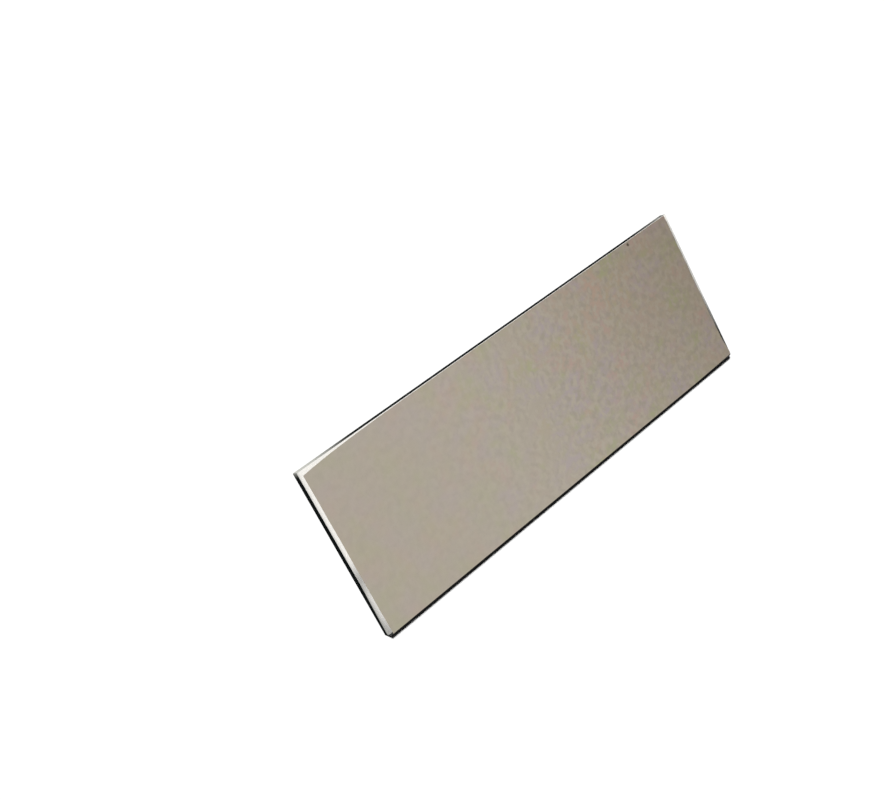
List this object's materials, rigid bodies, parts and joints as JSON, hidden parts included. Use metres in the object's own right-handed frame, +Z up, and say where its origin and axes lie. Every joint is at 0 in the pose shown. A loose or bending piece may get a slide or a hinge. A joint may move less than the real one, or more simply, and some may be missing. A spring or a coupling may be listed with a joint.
{
  "type": "microscope slide",
  "caption": "Flat rectangular glass microscope slide with an opaque mirror-like metal film on one face and a narrow bare margin at one end.",
  "frame": {"origin": "centre of the plain underside, on the surface that the slide lies on", "axes": "+X along the length, towards the end without a bare margin; +Y across the width, towards the edge with the tapering bare strip; +Z up, out of the coated face"},
  "size_m": [0.075, 0.025, 0.0011],
  "materials": {
    "slide_glass": "polished faces, dark ground edges",
    "metal_film": "vacuum deposited metal film, warm grey"
  },
  "bodies": {
    "root": {"glass_slide": "slide_glass"}
  },
  "joints": []
}
